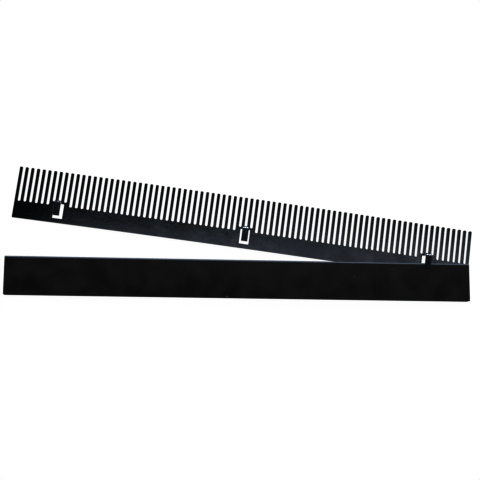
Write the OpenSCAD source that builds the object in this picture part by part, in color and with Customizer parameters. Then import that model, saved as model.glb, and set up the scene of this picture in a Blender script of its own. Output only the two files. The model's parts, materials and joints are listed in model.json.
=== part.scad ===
// Weir comb with its mounting bar, for the overflow of an aquarium.
// The bar is a channel that is pressed onto the top edge of the glass. The comb hangs on the bar by three
// hooks, and its teeth stand above the bar, so that water passes and fish don't.
// The comb is drawn swung open from the bar, still held by its right-hand hook.
// +X runs along the bar, +Y points from the glass up to the teeth, and +Z points into the tank.
// The origin is the middle of the face inside the channel that rests on the glass. Units are millimetres.

/* [Mounting bar] */
// Length of the bar and of the comb
bar_len = 508; // [460:1:560]
// Height of the bar
bar_h = 41.5; // [20:0.5:60]
// Width of the slot that takes the glass
slot_w = 6.4; // [4:0.1:12]
// Thickness of each side wall of the bar
wall_t = 1.2; // [1:0.1:3]
// Thickness of the web that lies over the edge of the glass
web_t = 2; // [1.6:0.1:4]
// Radius of the bar's rounded top edges
bar_edge_r = 1.6; // [0.5:0.1:1.6]

/* [Comb] */
// Number of teeth, an even number so that a gap lies in the middle
tooth_count = 82; // [76:2:88]
// Length of the teeth from the bottom of a gap to the tip
tooth_len = 38; // [20:0.5:60]
// Height of the plate below the gaps
plate_h = 18.7; // [17:0.1:40]
// Thickness of the plate and of the teeth
plate_t = 3; // [2:0.1:5]
// Radius of the corners of a tooth's tip
tip_r = 0.8; // [0.2:0.1:0.9]

/* [Hooks] */
// Width of a hook along the comb
hook_w = 6.8; // [5:0.1:7.6]
// Thickness of a hook's arm and tongue
hook_t = 1.8; // [1.2:0.1:2.2]
// Length of a tongue from the underside of its arm to its end
tongue_len = 14.8; // [8:0.1:16]
// Height of an arm's underside above the bottom of the gaps
arm_rise = 2.7; // [2:0.1:4]
// Gap between a tongue and each side of the window behind it, were it in the window's middle
window_gap = 2.05; // [1:0.05:2.3]
// Distance that a hook stands to the left of its window's middle
hook_offset = 0.5; // [0:0.1:1]
// Clearance between the bar and each face that a hook traps it with
play = 0.3; // [0.2:0.05:0.6]

/* [Pose] */
// Angle in degrees by which the comb is swung open from the bar
swing = 7; // [0:0.5:10.5]
// Distance of the swing's centre beyond the bar's right-hand end
pivot_out = 28; // [10:0.5:40]
// Distance that the closed comb stands to the right of the bar
comb_shift = 2.8; // [0:0.1:5]

/* [Hidden] */
$fn = 64;

bar_black = [0.08, 0.08, 0.08];
comb_black = [0.12, 0.13, 0.15];

bar_t = slot_w + 2 * wall_t;
pitch = bar_len / (tooth_count - 0.5);  // a tooth and a gap of equal width
tooth_w = pitch / 2;
gap_r = pitch / 4;                      // the bottom of a gap is a half circle
hook_step = round(0.4 * tooth_count) * pitch;
window_w = hook_w + 2 * window_gap;
window_h = tongue_len + hook_t;
hook_gap_y = arm_rise + hook_t;         // the gaps over a hook end at the top of its arm
hook_pad_w = 2.5 * pitch;               // three gaps and the two teeth between them
throat = bar_t + 2 * play;
seat_gap = 0.4;                         // between the arms and the bar's top when closed
flex_gap = 0.1;                         // between an arm and the tongue that flexes on it
pivot_x = bar_len / 2 + pivot_out;

// The middle of a hook; side is -1, 0 or 1 for left, centre or right
function hook_x(side) = side * hook_step - hook_offset;

// The floor of the gap whose middle is at x, higher where the gap stands over a hook
function over_hook(x) = min([for (s = [-1, 0, 1]) abs(x - s * hook_step)]) < 1.1 * pitch;
function gap_floor(x) = over_hook(x) ? hook_gap_y : 0;

// The foot of the tooth whose middle is at x, where its straight sides begin
function tooth_foot(x) = gap_r + (min([for (s = [-1, 0, 1]) abs(x - s * hook_step)]) < pitch ? hook_gap_y : 0);

// Takes a piece from the comb's own frame to its place on the bar. In the comb's frame the middle of the
// comb is at X = 0, the bottom of the gaps at Y = 0 and the plate's front face at Z = 0.
module on_bar() {
    translate([pivot_x, web_t, 0])
        rotate([0, 0, -swing])
            translate([comb_shift - pivot_x, seat_gap - arm_rise, -bar_t / 2 - play])
                children();
}

// Cross-section of the bar, with Y up and the glass coming in from below
module bar_section() {
    round_x = bar_t / 2 - bar_edge_r;
    difference() {
        union() {
            translate([-bar_t / 2, web_t - bar_h])
                square([bar_t, bar_h - bar_edge_r]);
            translate([-round_x, web_t - bar_h])
                square([2 * round_x, bar_h]);
            for (s = [-1, 1])
                translate([s * round_x, web_t - bar_edge_r])
                    circle(bar_edge_r);
        }
        translate([-slot_w / 2, -bar_h])
            square([slot_w, bar_h]);
    }
}

module mounting_bar() {
    color(bar_black)
        rotate([0, -90, 0])
            translate([0, 0, -bar_len / 2])
                linear_extrude(bar_len)
                    bar_section();
}

module comb_plate() {
    color(comb_black)
        on_bar()
            translate([0, 0, -plate_t])
                linear_extrude(plate_t)
                    difference() {
                        union() {
                            translate([-bar_len / 2, -plate_h])
                                square([bar_len, plate_h + gap_r]);
                            for (s = [-1, 0, 1])
                                translate([s * hook_step - hook_pad_w / 2, 0])
                                    square([hook_pad_w, hook_gap_y + gap_r]);
                        }
                        for (k = [1 - tooth_count / 2 : tooth_count / 2 - 1])
                            translate([k * pitch, gap_floor(k * pitch) + gap_r])
                                circle(gap_r);
                        for (s = [-1, 0, 1])
                            translate([s * hook_step - window_w / 2, arm_rise - window_h])
                                square([window_w, window_h]);
                    }
}

// One tooth standing on its foot at the height y, with its tip's corners rounded
module tooth_outline(y) {
    tip_x = tooth_w / 2 - tip_r;
    translate([-tooth_w / 2, y])
        square([tooth_w, tooth_len - tip_r - y]);
    translate([-tip_x, y])
        square([2 * tip_x, tooth_len - y]);
    for (s = [-1, 1])
        translate([s * tip_x, tooth_len - tip_r])
            circle(tip_r);
}

module comb_teeth() {
    color(comb_black)
        on_bar()
            for (k = [0 : tooth_count - 1]) {
                x = (k - (tooth_count - 1) / 2) * pitch;
                translate([x, 0, -plate_t])
                    linear_extrude(plate_t)
                        tooth_outline(tooth_foot(x));
            }
}

// The arm that reaches forward over the bar's top edge
module hook_arm(side) {
    color(comb_black)
        on_bar()
            translate([hook_x(side) - hook_w / 2, arm_rise, 0])
                cube([hook_w, hook_t, throat - flex_gap]);
}

// The tongue that hangs from the arm in front of the bar, and flexes about its rounded top
module hook_tongue(side) {
    color(comb_black)
        on_bar()
            translate([hook_x(side) - hook_w / 2, arm_rise, throat]) {
                translate([0, -tongue_len, 0])
                    cube([hook_w, tongue_len + hook_t / 2, hook_t]);
                translate([0, hook_t / 2, hook_t / 2])
                    rotate([0, 90, 0])
                        cylinder(r = hook_t / 2, h = hook_w);
            }
}

mounting_bar();
comb_plate();
comb_teeth();
hook_arm(-1);  // hook_arm_left
hook_arm(0);  // hook_arm_centre
hook_arm(1);  // hook_arm_right
hook_tongue(-1);  // hook_tongue_left
hook_tongue(0);  // hook_tongue_centre
hook_tongue(1);  // hook_tongue_right
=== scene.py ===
import json
import math

import bmesh
import bpy
from mathutils import Euler, Matrix, Vector


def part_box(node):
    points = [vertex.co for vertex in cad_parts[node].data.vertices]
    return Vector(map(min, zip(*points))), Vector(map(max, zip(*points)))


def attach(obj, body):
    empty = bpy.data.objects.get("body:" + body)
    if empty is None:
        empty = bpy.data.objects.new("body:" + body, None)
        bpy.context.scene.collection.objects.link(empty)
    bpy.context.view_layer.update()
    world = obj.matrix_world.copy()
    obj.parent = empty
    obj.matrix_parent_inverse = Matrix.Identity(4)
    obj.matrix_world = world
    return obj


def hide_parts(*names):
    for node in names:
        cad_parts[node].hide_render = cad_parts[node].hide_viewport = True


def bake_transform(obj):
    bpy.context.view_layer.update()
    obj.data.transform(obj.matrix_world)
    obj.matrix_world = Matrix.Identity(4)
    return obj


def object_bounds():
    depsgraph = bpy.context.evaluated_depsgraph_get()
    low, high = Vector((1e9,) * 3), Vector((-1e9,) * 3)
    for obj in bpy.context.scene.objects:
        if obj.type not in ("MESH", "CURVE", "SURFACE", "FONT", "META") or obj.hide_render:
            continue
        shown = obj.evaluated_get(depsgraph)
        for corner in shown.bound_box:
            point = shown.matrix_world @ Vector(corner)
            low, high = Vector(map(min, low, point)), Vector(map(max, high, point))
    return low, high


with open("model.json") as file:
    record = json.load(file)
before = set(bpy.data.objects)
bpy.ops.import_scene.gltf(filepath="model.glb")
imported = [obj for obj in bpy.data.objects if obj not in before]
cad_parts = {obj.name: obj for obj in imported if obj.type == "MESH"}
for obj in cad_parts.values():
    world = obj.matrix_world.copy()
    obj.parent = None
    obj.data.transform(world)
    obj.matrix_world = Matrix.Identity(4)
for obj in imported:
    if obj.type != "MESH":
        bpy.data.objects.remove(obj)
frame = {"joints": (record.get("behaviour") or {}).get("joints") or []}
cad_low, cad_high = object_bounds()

# Weir comb with its mounting bar, both of black plastic. The bar is a channel that is pressed onto the top
# edge of an aquarium's glass. The comb hangs on it by three hooks, and here it is swung open, held by the
# last hook. Every length is in metres. A piece of the comb is modelled in the comb's own frame, where X = 0
# is its middle, Y = 0 the bottom of its gaps and Z = 0 the front of its plate, and is then taken to its
# place on the bar.

MM = 0.001
TOUCH = 1e-6  # points closer than this are in the same place

# The comb
TOOTH_COUNT = 82
TOOTH_LEN = 38 * MM
PLATE_H = 18.7 * MM
PLATE_T = 3 * MM
TIP_R = 0.8 * MM
RIM_R = 0.25 * MM        # the softened rim of a moulding, all round
WINDOW_W = 10.9 * MM
WINDOW_CORNER_R = 0.5 * MM
BOW = 1.5 * MM           # height of the comb's slight arch
BOW_LEVEL = 0.55         # the share of it by which the middle stands high; the ends hang low by the rest

# The hooks
HOOK_W = 6.8 * MM
HOOK_T = 1.8 * MM
HOOK_BEND_R = 0.6 * MM   # inside the bend from the arm into the tongue
HOOK_ROOT = 0.4 * MM     # how far an arm's root reaches into the plate
TONGUE_LEN = 14.8 * MM
TONGUE_TAPER = math.radians(3.6)   # a tongue's front leans in towards its tip
TONGUE_TIP_R = 0.4 * MM
ARM_RISE = 2.7 * MM
HOOK_OFFSET = 0.5 * MM   # a hook stands this far to the left of its window's middle
THROAT = 9.4 * MM        # from the plate to the back of a tongue
FLEX_ROWS = 4            # rows of points on each side of the bend
FLEX_ROW = 1 * MM

# The bar
WALL_T = 1.2 * MM
BAR_EDGE_R = 1.6 * MM
MOUTH_R = 0.4 * MM       # softened edges of the mouth that takes the glass

# Steps in a quarter turn
BEND_ARC = 8             # the bends of the hooks
ARC = 6                  # the bottoms of the gaps and the bar's top edges
TIP_ARC = 4              # the tips of teeth and tongues
CORNER_ARC = 3           # the windows' corners and the bar's mouth
RIM_ARC = 2              # softened rims

RIM_ANGLE = math.radians(40)      # edges that turn by more than this are softened
SMOOTH_ANGLE = math.radians(50)   # faces that turn by less than this are shaded as one round

# Measured off the frame
bar_low, bar_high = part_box("mounting_bar")
BAR_LEN = bar_high.x - bar_low.x
BAR_T = bar_high.z - bar_low.z
WEB_T = bar_high.y       # the glass rests at Y = 0, under the web
PITCH = BAR_LEN / (TOOTH_COUNT - 0.5)
GAP_R = PITCH / 4
HOOK_GAP_Y = ARM_RISE + HOOK_T   # the gaps over a hook end at the top of its arm
WINDOW_H = TONGUE_LEN + HOOK_T

joint_of = {joint["name"]: joint for joint in frame["joints"]}
flex_at = {side: Vector(joint_of[side + "_tongue_flex"]["pos_m"]) for side in ("left", "centre", "right")}
COMB_RUN = flex_at["right"] - flex_at["left"]
HOOK_STEP = COMB_RUN.length / 2
SWING = math.atan2(COMB_RUN.y, COMB_RUN.x)   # how far the comb is swung open, negative for clockwise
FLEX_IN_COMB = Vector((-HOOK_OFFSET, ARM_RISE + HOOK_T / 2, THROAT + HOOK_T / 2))
COMB_TURN = Euler((0, 0, SWING))
COMB_ORIGIN = flex_at["centre"] - COMB_TURN.to_matrix() @ FLEX_IN_COMB


# Modelling

def near(a, b):
    """Whether two lengths are the same, but for rounding."""
    return abs(a - b) < TOUCH


def only(piece):
    """Makes a piece the only selected object, and the active one."""
    bpy.ops.object.select_all(action="DESELECT")
    piece.select_set(True)
    bpy.context.view_layer.objects.active = piece


def block(name, low, high):
    """Starts a piece as a box between two corners, and leaves it in edit mode with nothing selected."""
    bpy.ops.object.select_all(action="DESELECT")
    bpy.ops.mesh.primitive_cube_add(size=1)
    return start_shape(name, low, high)


def leaf(name, low, high):
    """Starts a piece as a flat rectangle between two corners, left in edit mode with nothing selected."""
    bpy.ops.object.select_all(action="DESELECT")
    bpy.ops.mesh.primitive_plane_add(size=1)
    return start_shape(name, low, high)


def start_shape(name, low, high):
    """Fits the new primitive between two corners, as block and leaf need it."""
    piece = bpy.context.object
    piece.name = piece.data.name = name
    bpy.ops.object.mode_set(mode="EDIT")
    bpy.ops.transform.resize(value=[max(b - a, TOUCH) for a, b in zip(low, high)])
    bpy.ops.transform.translate(value=[(a + b) / 2 for a, b in zip(low, high)])
    bpy.ops.mesh.select_all(action="DESELECT")
    return piece


def pick(kind, wanted):
    """Selects the vertices, edges or faces of the piece in edit mode whose middle is wanted."""
    bpy.ops.mesh.select_mode(type=kind)
    bpy.ops.mesh.select_all(action="DESELECT")
    mesh = bmesh.from_edit_mesh(bpy.context.object.data)
    for part in {"VERT": mesh.verts, "EDGE": mesh.edges, "FACE": mesh.faces}[kind]:
        corners = [part] if kind == "VERT" else part.verts
        if wanted(sum((v.co for v in corners), Vector()) / len(corners)):
            part.select_set(True)
    mesh.select_flush_mode()
    bmesh.update_edit_mesh(bpy.context.object.data)


def draw_out(x=0, y=0, z=0):
    """Extrudes what is selected by that much."""
    bpy.ops.mesh.extrude_region_move(TRANSFORM_OT_translate={"value": (x, y, z)})


def round_off(radius, steps, affect="EDGES"):
    """Rounds the selected edges, or the corners of a flat outline, to a radius."""
    bpy.ops.mesh.bevel(offset=radius, segments=steps, affect=affect, clamp_overlap=False)


def close_up():
    """Merges doubles, turns all faces outwards and leaves edit mode."""
    bpy.ops.mesh.select_mode(type="VERT")
    bpy.ops.mesh.select_all(action="SELECT")
    bpy.ops.mesh.remove_doubles(threshold=2 * TOUCH)
    bpy.ops.mesh.normals_make_consistent(inside=False)
    bpy.ops.object.mode_set(mode="OBJECT")


def apply_modifier(piece, kind, **settings):
    """Gives a piece a modifier with these settings and applies it."""
    only(piece)
    modifier = piece.modifiers.new(kind.title(), kind)
    for name, value in settings.items():
        setattr(modifier, name, value)
    bpy.ops.object.modifier_apply(modifier=modifier.name)


def join(name, pieces):
    """Joins pieces into one object of that name."""
    only(pieces[0])
    for piece in pieces:
        piece.select_set(True)
    bpy.ops.object.join()
    joined = bpy.context.object
    joined.name = joined.data.name = name
    return joined


def copy_at(piece, x):
    """A copy of a piece, with its own mesh, moved along X."""
    twin = piece.copy()
    twin.data = piece.data.copy()
    bpy.context.scene.collection.objects.link(twin)
    twin.location.x = x
    return twin


def soften_rims(piece, radius):
    """Rounds every sharp edge a little, and shades the flats flat and the rounds round."""
    apply_modifier(piece, "BEVEL", width=radius, segments=RIM_ARC, limit_method="ANGLE",
                   angle_limit=RIM_ANGLE, use_clamp_overlap=False)
    only(piece)
    bpy.ops.object.shade_smooth_by_angle(angle=SMOOTH_ANGLE)
    apply_modifier(piece, "WEIGHTED_NORMAL", keep_sharp=True)


def hang_on_bar(piece):
    """Gives a piece of the comb its share of the bow, and takes its mesh to its place on the bar."""
    for vertex in piece.data.vertices:
        vertex.co.y += BOW * (BOW_LEVEL - (vertex.co.x / (BAR_LEN / 2)) ** 2)
    piece.rotation_euler = COMB_TURN
    piece.location = COMB_ORIGIN
    only(piece)
    bpy.ops.object.transform_apply(location=True, rotation=True, scale=True)


# The comb's plate and teeth, one moulding

def gap_cell(name, floor):
    """One gap with half a tooth on each side of it, as a flat outline. Its bottom is at the height floor."""
    cell = leaf(name, (-PITCH / 4, -PLATE_H, 0), (PITCH / 4, floor, 0))
    for side in (-1, 1):
        pick("EDGE", lambda p: near(p.x, side * PITCH / 4))
        draw_out(x=side * PITCH / 4)
    pick("EDGE", lambda p: near(p.y, floor) and abs(p.x) > PITCH / 4)
    draw_out(y=TOOTH_LEN - floor)
    bpy.ops.mesh.select_all(action="SELECT")
    bpy.ops.mesh.dissolve_faces()
    pick("VERT", lambda p: near(abs(p.x), PITCH / 2) and near(p.y, floor)
         or near(abs(p.x), PITCH / 4) and near(p.y, -PLATE_H))
    bpy.ops.mesh.dissolve_verts()
    pick("VERT", lambda p: near(abs(p.x), PITCH / 4) and near(p.y, floor))
    round_off(GAP_R, ARC, "VERTICES")
    pick("VERT", lambda p: near(abs(p.x), PITCH / 4) and near(p.y, TOOTH_LEN))
    round_off(TIP_R, TIP_ARC, "VERTICES")
    close_up()
    return cell


def window_cutter(x):
    """A block with rounded corners, as big as the window behind a tongue, that reaches through the plate."""
    cutter = block("window_cutter", (x - WINDOW_W / 2, ARM_RISE - WINDOW_H, -2 * PLATE_T),
                   (x + WINDOW_W / 2, ARM_RISE, PLATE_T))
    pick("EDGE", lambda p: near(abs(p.x - x), WINDOW_W / 2) and near(p.z, -PLATE_T / 2))
    round_off(WINDOW_CORNER_R, CORNER_ARC)
    close_up()
    return cutter


def comb_moulding():
    """The whole comb but for its hooks: a row of gap cells, given the plate's thickness and three windows."""
    plain = gap_cell("gap", 0)
    short = gap_cell("gap_over_hook", HOOK_GAP_Y)
    hook_cells = [round(side * HOOK_STEP / PITCH) + k for side in (-1, 0, 1) for k in (-1, 0, 1)]
    last = TOOTH_COUNT // 2 - 1
    cells = [copy_at(short if k in hook_cells else plain, k * PITCH) for k in range(-last, last + 1)]
    bpy.data.objects.remove(plain)
    bpy.data.objects.remove(short)
    comb = join("comb", cells)
    bpy.ops.object.transform_apply(location=True)

    # The outer half of the first and last tooth
    cell_end = (last + 0.5) * PITCH
    bpy.ops.object.mode_set(mode="EDIT")
    bpy.ops.mesh.select_all(action="SELECT")
    bpy.ops.mesh.remove_doubles(threshold=2 * TOUCH)
    for side in (-1, 1):
        pick("EDGE", lambda p: near(p.x, side * cell_end))
        draw_out(x=side * PITCH / 4)
    pick("VERT", lambda p: near(abs(p.x), BAR_LEN / 2) and near(p.y, TOOTH_LEN))
    round_off(TIP_R, TIP_ARC, "VERTICES")

    # The plate's thickness
    bpy.ops.mesh.select_mode(type="FACE")
    bpy.ops.mesh.select_all(action="SELECT")
    draw_out(z=-PLATE_T)
    close_up()

    for side in (-1, 0, 1):
        cutter = window_cutter(side * HOOK_STEP)
        apply_modifier(comb, "BOOLEAN", operation="DIFFERENCE", object=cutter, solver="EXACT")
        bpy.data.objects.remove(cutter)
    soften_rims(comb, RIM_R)
    hang_on_bar(comb)
    return comb


# The hooks, each an arm and the tongue that it bends down into

def hook(name, x):
    """A strip drawn out along the arm, spun round the bend and drawn down the tongue."""
    bend_y, bend_z = ARM_RISE - HOOK_BEND_R, THROAT - HOOK_BEND_R
    tip_y = ARM_RISE - TONGUE_LEN
    flex_len = FLEX_ROWS * FLEX_ROW
    front_z = THROAT + HOOK_T
    shape = leaf(name, (-HOOK_W / 2, ARM_RISE, -HOOK_ROOT), (HOOK_W / 2, ARM_RISE + HOOK_T, -HOOK_ROOT))
    bpy.ops.mesh.select_all(action="SELECT")
    draw_out(z=HOOK_ROOT + bend_z - flex_len)
    for _ in range(FLEX_ROWS):
        draw_out(z=FLEX_ROW)
    bpy.ops.mesh.spin(steps=BEND_ARC, angle=-math.pi / 2, center=(0, bend_y, bend_z), axis=(1, 0, 0))
    for _ in range(FLEX_ROWS):
        draw_out(y=-FLEX_ROW)
    draw_out(y=tip_y - bend_y + flex_len)
    pick("VERT", lambda p: p.y < bend_y - TOUCH and near(p.z, front_z))
    bpy.ops.transform.rotate(value=-TONGUE_TAPER, orient_axis="X", center_override=(0, bend_y, front_z))
    pick("EDGE", lambda p: p.y < tip_y + FLEX_ROW / 2 and near(p.x, 0))   # the two edges across its tip
    round_off(TONGUE_TIP_R, TIP_ARC)
    close_up()
    soften_rims(shape, RIM_R)
    shape.location.x = x
    only(shape)
    bpy.ops.object.transform_apply(location=True)
    hang_on_bar(shape)
    return shape


# The bar, a channel open along its underside and at both ends

def mounting_bar():
    """The web over the slot, with a side wall drawn down from each of its edges."""
    half = BAR_T / 2
    slot = half - WALL_T
    bar = block("bar", (bar_low.x, 0, -slot), (bar_high.x, WEB_T, slot))
    for side in (-1, 1):
        pick("FACE", lambda p: near(p.z, side * slot))
        draw_out(z=side * WALL_T)
    pick("FACE", lambda p: near(p.y, 0) and abs(p.z) > slot)
    draw_out(y=bar_low.y)
    pick("EDGE", lambda p: near(p.y, WEB_T) and near(abs(p.z), half) and near(p.x, 0))
    round_off(BAR_EDGE_R, ARC)
    pick("EDGE", lambda p: near(p.y, 0) and near(abs(p.z), slot) and near(p.x, 0))
    round_off(MOUTH_R, CORNER_ARC)
    pick("EDGE", lambda p: near(p.y, bar_low.y) and near(p.x, 0))
    round_off(MOUTH_R, CORNER_ARC)
    close_up()
    only(bar)
    bpy.ops.object.shade_smooth_by_angle(angle=SMOOTH_ANGLE)
    return bar


# Materials

def linear(hex_colour):
    """An sRGB hex colour as the linear colour that a shader takes."""
    parts = [int(hex_colour[i:i + 2], 16) / 255 for i in (1, 3, 5)]
    return [c / 12.92 if c <= 0.04045 else ((c + 0.055) / 1.055) ** 2.4 for c in parts] + [1]


def add_node(tree, kind, sockets=(), **settings):
    """Adds a node with its settings. sockets gives an input a value, or the output that it is linked to."""
    node = tree.nodes.new(kind)
    for name, value in settings.items():
        setattr(node, name, value)
    for name, value in dict(sockets).items():
        if isinstance(value, bpy.types.NodeSocket):
            tree.links.new(value, node.inputs[name])
        else:
            node.inputs[name].default_value = value
    return node


# A Mix node's sockets for colours, which share their names with those for numbers
MIX_A, MIX_B, MIXED = 6, 7, 2


def new_material(name):
    """An empty material of that name, and its node tree."""
    material = bpy.data.materials.new(name)
    material.use_nodes = True
    material.node_tree.nodes.clear()
    return material, material.node_tree


def painted_edge_highlight(tree, place):
    """A mask that is 1 along the bar's rounded top edges and 0 elsewhere. It places a painted highlight
    there.
    """
    at = add_node(tree, "ShaderNodeSeparateXYZ", {0: place}).outputs
    from_middle = add_node(tree, "ShaderNodeMath", {0: at["Z"]}, operation="ABSOLUTE")
    up = add_node(tree, "ShaderNodeMapRange", {
        "Value": at["Y"], "From Min": WEB_T - BAR_EDGE_R, "From Max": WEB_T - 0.8 * BAR_EDGE_R})
    out = add_node(tree, "ShaderNodeMapRange", {
        "Value": from_middle.outputs[0], "From Min": BAR_T / 2 - 0.8 * BAR_EDGE_R,
        "From Max": BAR_T / 2 - 0.5 * BAR_EDGE_R})
    return add_node(tree, "ShaderNodeMath", {0: up.outputs[0], 1: out.outputs[0]}, operation="MULTIPLY")


def dust_specks(tree, place):
    """A mask with one place for a speck in every 14 mm. The power makes most of them too small to see."""
    dust = add_node(tree, "ShaderNodeTexVoronoi", {"Vector": place, "Scale": 1 / (14 * MM)})
    chance = add_node(tree, "ShaderNodeSeparateColor", {"Color": dust.outputs["Color"]})
    rare = add_node(tree, "ShaderNodeMath", {0: chance.outputs["Red"], 1: 4}, operation="POWER")
    reach = add_node(tree, "ShaderNodeMath", {0: rare.outputs[0], 1: 0.07}, operation="MULTIPLY")
    return add_node(tree, "ShaderNodeMapRange", {
        "Value": dust.outputs["Distance"], "From Min": 0, "From Max": reach.outputs[0],
        "To Min": 1, "To Max": 0})


def extruded_abs():
    """Black ABS drawn through a die and sawn to length. The die leaves the face dull and slowly wavy, with
    faint lines along it. Handling has left it mottled, and specks of dust lie on it. Its rounded top edges
    carry a pale blue-grey painted highlight. Real die lines and grain are finer. Here they are coarse
    enough to show from close by."""
    material, tree = new_material("extruded_black_abs")
    place = add_node(tree, "ShaderNodeTexCoord").outputs["Object"]
    # The mask for the painted highlight along the bar's rounded top edges
    edge = painted_edge_highlight(tree, place)
    speck = dust_specks(tree, place)

    # The die lines are a pattern stretched fiftyfold along the bar
    along = add_node(tree, "ShaderNodeMapping", {"Vector": place, "Scale": (0.02, 1, 1)}).outputs[0]
    die_lines = add_node(tree, "ShaderNodeTexNoise", {"Vector": along, "Scale": 1 / (0.9 * MM), "Detail": 3})
    grain = add_node(tree, "ShaderNodeTexNoise", {"Vector": place, "Scale": 1 / (0.5 * MM), "Detail": 2})
    wave = add_node(tree, "ShaderNodeTexNoise", {"Vector": place, "Scale": 1 / (26 * MM), "Detail": 1})
    mottle = add_node(tree, "ShaderNodeTexNoise", {"Vector": place, "Scale": 1 / (20 * MM), "Detail": 4})
    handled = add_node(tree, "ShaderNodeMapRange", {
        "Value": mottle.outputs[0], "From Min": 0.42, "From Max": 0.64})

    black = add_node(tree, "ShaderNodeMix", {
        "Factor": handled.outputs[0], MIX_A: linear("#0a0a0a"), MIX_B: linear("#1a1a19")}, data_type="RGBA")
    # A pale blue-grey painted highlight along the rounded top edges, standing in for a window's reflection
    edge_highlighted = add_node(tree, "ShaderNodeMix", {
        "Factor": edge.outputs[0], MIX_A: black.outputs[MIXED], MIX_B: linear("#656e7b")},
        data_type="RGBA")
    dusty = add_node(tree, "ShaderNodeMix", {
        "Factor": speck.outputs[0], MIX_A: edge_highlighted.outputs[MIXED], MIX_B: linear("#a8a69e")},
        data_type="RGBA")
    dull = add_node(tree, "ShaderNodeMapRange", {
        "Value": mottle.outputs[0], "From Min": 0.3, "From Max": 0.7, "To Min": 0.42, "To Max": 0.62})
    waviness = add_node(tree, "ShaderNodeBump", {
        "Height": wave.outputs[0], "Strength": 1, "Distance": 0.5 * MM})
    lines = add_node(tree, "ShaderNodeBump", {
        "Height": die_lines.outputs[0], "Normal": waviness.outputs[0], "Strength": 0.25,
        "Distance": 0.02 * MM})
    skin = add_node(tree, "ShaderNodeBump", {
        "Height": grain.outputs[0], "Normal": lines.outputs[0], "Strength": 0.3, "Distance": 0.02 * MM})
    shader = add_node(tree, "ShaderNodeBsdfPrincipled", {
        "Base Color": dusty.outputs[MIXED], "Roughness": dull.outputs[0], "Normal": skin.outputs[0],
        "IOR": 1.54})
    add_node(tree, "ShaderNodeOutputMaterial", {"Surface": shader.outputs[0]})
    return material


def moulded_abs():
    """Black ABS injected into a polished mould. Its skin is smoother than the bar's and slightly blue. It has
    the faint orange peel and the slow unevenness of plastic that has shrunk in the mould."""
    material, tree = new_material("moulded_black_abs")
    place = add_node(tree, "ShaderNodeTexCoord").outputs["Object"]
    flow = add_node(tree, "ShaderNodeTexNoise", {"Vector": place, "Scale": 1 / (22 * MM), "Detail": 3})
    peel = add_node(tree, "ShaderNodeTexNoise", {"Vector": place, "Scale": 1 / (1.6 * MM), "Detail": 2})
    black = add_node(tree, "ShaderNodeMix", {
        "Factor": flow.outputs[0], MIX_A: linear("#0b0c0f"), MIX_B: linear("#14161a")}, data_type="RGBA")
    gloss = add_node(tree, "ShaderNodeMapRange", {
        "Value": flow.outputs[0], "From Min": 0.3, "From Max": 0.7, "To Min": 0.13, "To Max": 0.19})
    sink = add_node(tree, "ShaderNodeBump", {
        "Height": flow.outputs[0], "Strength": 1, "Distance": 0.15 * MM})
    skin = add_node(tree, "ShaderNodeBump", {
        "Height": peel.outputs[0], "Normal": sink.outputs[0], "Strength": 0.3, "Distance": 0.02 * MM})
    shader = add_node(tree, "ShaderNodeBsdfPrincipled", {
        "Base Color": black.outputs[MIXED], "Roughness": gloss.outputs[0], "Normal": skin.outputs[0],
        "IOR": 1.54, "Specular Tint": (0.78, 0.88, 1, 1)})
    add_node(tree, "ShaderNodeOutputMaterial", {"Surface": shader.outputs[0]})
    return material


def lit_acrylic():
    """The milk-white acrylic of a light table. Its own glow hides nearly every shadow."""
    material, tree = new_material("lit_milk_acrylic")
    shader = add_node(tree, "ShaderNodeBsdfPrincipled", {
        "Base Color": linear("#303030"), "Roughness": 0.9, "Specular IOR Level": 0.1,
        "Emission Color": (1, 1, 1, 1), "Emission Strength": 0.97})
    add_node(tree, "ShaderNodeOutputMaterial", {"Surface": shader.outputs[0]})
    return material


# Studio

LIT_POINT = Vector((0, 0.03, 0))   # near the middle of the bar and the comb, where every light is aimed
FLOOR_SIZE = 80                    # wide enough that its edge is far off from any side
FLOOR_GAP = 0.05 * MM              # keeps the floor clear of the faces that lie on it

# A metre over the bar and a little below and left of its middle, looking back at it
CAMERA_PLACE = (-84.7 * MM, -125.7 * MM, 1029.2 * MM)
CAMERA_TURN = (8.234, -4.699, 0.461)   # in degrees
CAMERA_LENS = 71.25


def softbox(name, place, size, power, colour, turn=0):
    """A soft rectangular light. Its first side is level, and turned from X about Z."""
    light = bpy.data.lights.new(name, "AREA")
    light.shape = "RECTANGLE"
    light.size, light.size_y = size
    light.energy = power
    light.color = colour
    lamp = bpy.data.objects.new(name, light)
    bpy.context.scene.collection.objects.link(lamp)
    back = (Vector(place) - LIT_POINT).normalized()
    run = Vector((math.cos(turn), math.sin(turn), 0))
    across = (run - back * back.dot(run)).normalized()
    facing = Matrix((across, back.cross(across), back)).transposed()
    lamp.matrix_world = Matrix.Translation(place) @ facing.to_4x4()
    lamp.visible_camera = False
    return lamp


def light_only(lamp, pieces):
    """Keeps a light off everything except these pieces."""
    lit = bpy.data.collections.new(lamp.name + "_lit")
    for piece in pieces:
        lit.objects.link(piece)
    lamp.light_linking.receiver_collection = lit


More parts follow.
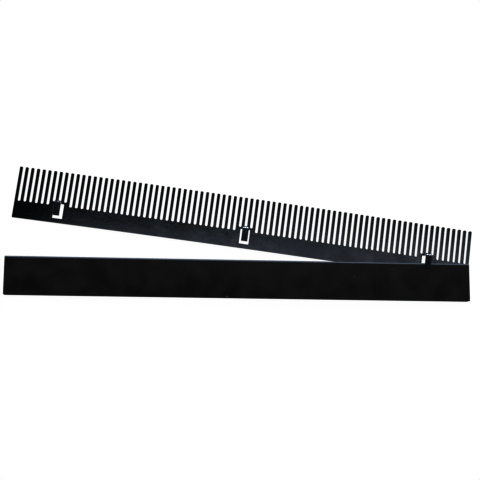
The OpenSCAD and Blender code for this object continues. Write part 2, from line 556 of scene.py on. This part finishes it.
def studio_world():
    """White walls all round, under a ceiling that darkens overhead."""
    world = bpy.data.worlds.new("studio")
    bpy.context.scene.world = world
    world.use_nodes = True
    tree = world.node_tree
    tree.nodes.clear()
    direction = add_node(tree, "ShaderNodeTexCoord").outputs["Generated"]
    height = add_node(tree, "ShaderNodeSeparateXYZ", {0: direction}).outputs["Z"]
    glow = add_node(tree, "ShaderNodeMapRange", {
        "Value": height, "From Min": 0.4, "From Max": 0.88, "To Min": 2, "To Max": 0.2},
        interpolation_type="SMOOTHSTEP")
    background = add_node(tree, "ShaderNodeBackground", {"Color": (1, 1, 1, 1), "Strength": glow.outputs[0]})
    add_node(tree, "ShaderNodeOutputWorld", {"Surface": background.outputs[0]})


def floor():
    bpy.ops.object.select_all(action="DESELECT")
    bpy.ops.mesh.primitive_plane_add(size=FLOOR_SIZE, location=(0, 0, cad_low.z - FLOOR_GAP))
    sheet = bpy.context.object
    sheet.name = "floor"
    sheet.data.materials.append(lit_acrylic())


def camera():
    eye = bpy.data.cameras.new("camera")
    eye.lens = CAMERA_LENS
    holder = bpy.data.objects.new("camera", eye)
    bpy.context.scene.collection.objects.link(holder)
    holder.location = CAMERA_PLACE
    holder.rotation_euler = [math.radians(angle) for angle in CAMERA_TURN]
    bpy.context.scene.camera = holder


# Build

bar_plastic = extruded_abs()
comb_plastic = moulded_abs()

bar = mounting_bar()
bar.data.materials.append(bar_plastic)
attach(bar, "bar")
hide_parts("mounting_bar")

comb = comb_moulding()
comb.data.materials.append(comb_plastic)
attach(comb, "comb")
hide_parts("comb_plate", "comb_teeth")

hooks = []
for side, step in (("left", -1), ("centre", 0), ("right", 1)):
    offset = Vector((step * HOOK_STEP - HOOK_OFFSET, 0, 0))
    shape = hook("hook_" + side, offset.x)
    shape.data.materials.append(comb_plastic)
    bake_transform(shape)
    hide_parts("hook_arm_" + side, "hook_tongue_" + side)
    hooks.append(shape)

floor()
studio_world()

# The comb's plate mirrors this strip, which is turned less than the comb, so the plate's left end stays dark
softbox("overhead_strip", place=(0.2, 0.155, 1.1), size=(1.1, 0.07), power=1.4, colour=(1, 0.98, 1),
        turn=0.4 * SWING)

# A cool light from beyond the teeth, as from a window
softbox("window_side", place=(0.2, 0.7, 1.05), size=(0.35, 0.35), power=4.2, colour=(0.88, 0.94, 1))

# Makes the glints on the hooks' bends. On the bar it would glare, so it lights nothing else.
hook_light = softbox("hook_light", place=(0.28, 0.9, 0.97), size=(1.1, 0.18), power=85,
                     colour=(0.9, 0.96, 1))
light_only(hook_light, hooks)

camera()
bpy.context.scene.view_settings.view_transform = "Standard"
bpy.context.scene.view_settings.gamma = 0.5   # the hard contrast of a printed catalogue
